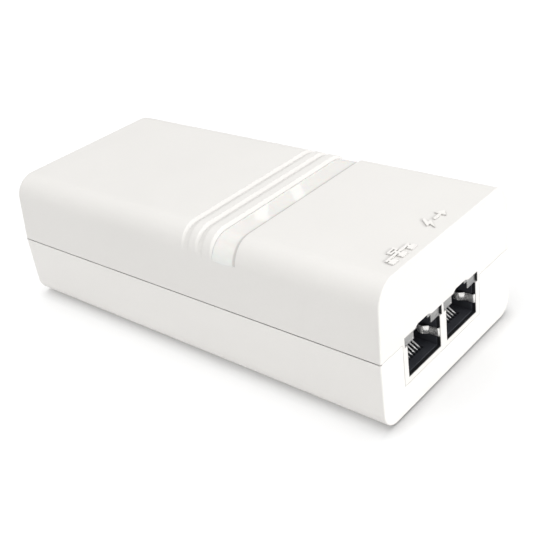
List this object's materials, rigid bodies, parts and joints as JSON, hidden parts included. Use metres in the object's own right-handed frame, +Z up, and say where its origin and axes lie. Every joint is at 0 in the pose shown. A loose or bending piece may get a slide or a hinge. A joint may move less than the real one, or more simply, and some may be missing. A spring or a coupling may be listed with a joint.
{
  "type": "poe injector",
  "caption": "Two-part white case with rounded long edges, cross grooves and a glossy window band on top, shielded modular jacks on one end and a mains inlet on the other.",
  "frame": {"origin": "middle of the footprint, on the plane the feet rest on", "axes": "+Z up; +Y along the length, towards the mains inlet, so the modular jacks face -Y; +X across the width"},
  "size_m": [0.052, 0.114, 0.0347],
  "materials": {
    "cover_white": "fine matte moulded texture",
    "cover_white_lower": "fine matte moulded texture",
    "window": "polished translucent milky plastic",
    "rubber": "matte",
    "steel": "zinc plated",
    "label": "blank printed film",
    "pcb": "green solder mask",
    "black_plastic": "glass filled",
    "nickel": "bright nickel plating",
    "tin": "bright tin plating",
    "brass": "nickel plated brass",
    "aluminium": "satin",
    "can": "printed sleeve",
    "ferrite": "sintered ferrite",
    "copper": "enamelled copper",
    "tape": "polyester tape",
    "film_yellow": "moulded",
    "ceramic_blue": "epoxy dipped",
    "ceramic_green": "epoxy dipped",
    "guide": "clear acrylic",
    "film": "clear polyester sheet",
    "chip_tan": "ceramic chip"
  },
  "bodies": {
    "injector": {"upper_cover": "cover_white", "lower_cover": "cover_white_lower", "status_band": "window", "rubber_feet": "rubber", "case_screws": "steel", "rating_label": "label", "main_pcb": "pcb", "pcb_screws": "steel", "inlet_housing": "black_plastic", "inlet_line_pin": "brass", "inlet_neutral_pin": "brass", "inlet_earth_pin": "brass", "fuse": "black_plastic", "inrush_thermistor": "ceramic_green", "varistor": "ceramic_blue", "x_capacitor": "film_yellow", "choke_core": "ferrite", "choke_windings": "copper", "bridge_rectifier": "black_plastic", "bulk_capacitor": "can", "transformer_core": "ferrite", "transformer_bobbin": "black_plastic", "transformer_winding": "tape", "primary_switch": "black_plastic", "output_rectifier": "black_plastic", "primary_heatsink": "aluminium", "secondary_heatsink": "aluminium", "heatsink_screws": "steel", "y_capacitor": "ceramic_blue", "optocoupler": "black_plastic", "pwm_controller": "black_plastic", "output_capacitors": "can", "output_inductor_core": "ferrite", "output_inductor_winding": "copper", "poe_controller": "black_plastic", "data_transformer": "black_plastic", "status_leds": "window", "light_guides": "guide", "insulation_sheet": "film", "resistors": "black_plastic", "ceramic_capacitors": "chip_tan", "lan_jack_housing": "black_plastic", "lan_jack_shield": "nickel", "lan_contact_leads": "tin", "poe_jack_housing": "black_plastic", "poe_jack_shield": "nickel", "poe_contact_leads": "tin"},
    "lan_contacts": {"lan_contact_springs": "tin"},
    "lan_ground_left": {"lan_ground_spring_left": "nickel"},
    "lan_ground_right": {"lan_ground_spring_right": "nickel"},
    "poe_contacts": {"poe_contact_springs": "tin"},
    "poe_ground_left": {"poe_ground_spring_left": "nickel"},
    "poe_ground_right": {"poe_ground_spring_right": "nickel"}
  },
  "joints": [
    {"name": "lan_contacts_flex", "type": "hinge", "parent": "injector", "child": "lan_contacts", "pos_m": [-0.01055, -0.0531, 0.00825], "axis": [-1, 0, 0], "range_deg": [0, 12], "stiffness_Nm_per_rad": 0.02},
    {"name": "lan_ground_left_flex", "type": "hinge", "parent": "injector", "child": "lan_ground_left", "pos_m": [-0.01682, -0.0565, 0.01213], "axis": [0, 0, 1], "range_deg": [0, 8], "stiffness_Nm_per_rad": 0.02},
    {"name": "lan_ground_right_flex", "type": "hinge", "parent": "injector", "child": "lan_ground_right", "pos_m": [-0.00428, -0.0565, 0.01213], "axis": [0, 0, -1], "range_deg": [0, 8], "stiffness_Nm_per_rad": 0.02},
    {"name": "poe_contacts_flex", "type": "hinge", "parent": "injector", "child": "poe_contacts", "pos_m": [0.0043, -0.0531, 0.00825], "axis": [-1, 0, 0], "range_deg": [0, 12], "stiffness_Nm_per_rad": 0.02},
    {"name": "poe_ground_left_flex", "type": "hinge", "parent": "injector", "child": "poe_ground_left", "pos_m": [-0.00197, -0.0565, 0.01213], "axis": [0, 0, 1], "range_deg": [0, 8], "stiffness_Nm_per_rad": 0.02},
    {"name": "poe_ground_right_flex", "type": "hinge", "parent": "injector", "child": "poe_ground_right", "pos_m": [0.01057, -0.0565, 0.01213], "axis": [0, 0, -1], "range_deg": [0, 8], "stiffness_Nm_per_rad": 0.02}
  ]
}
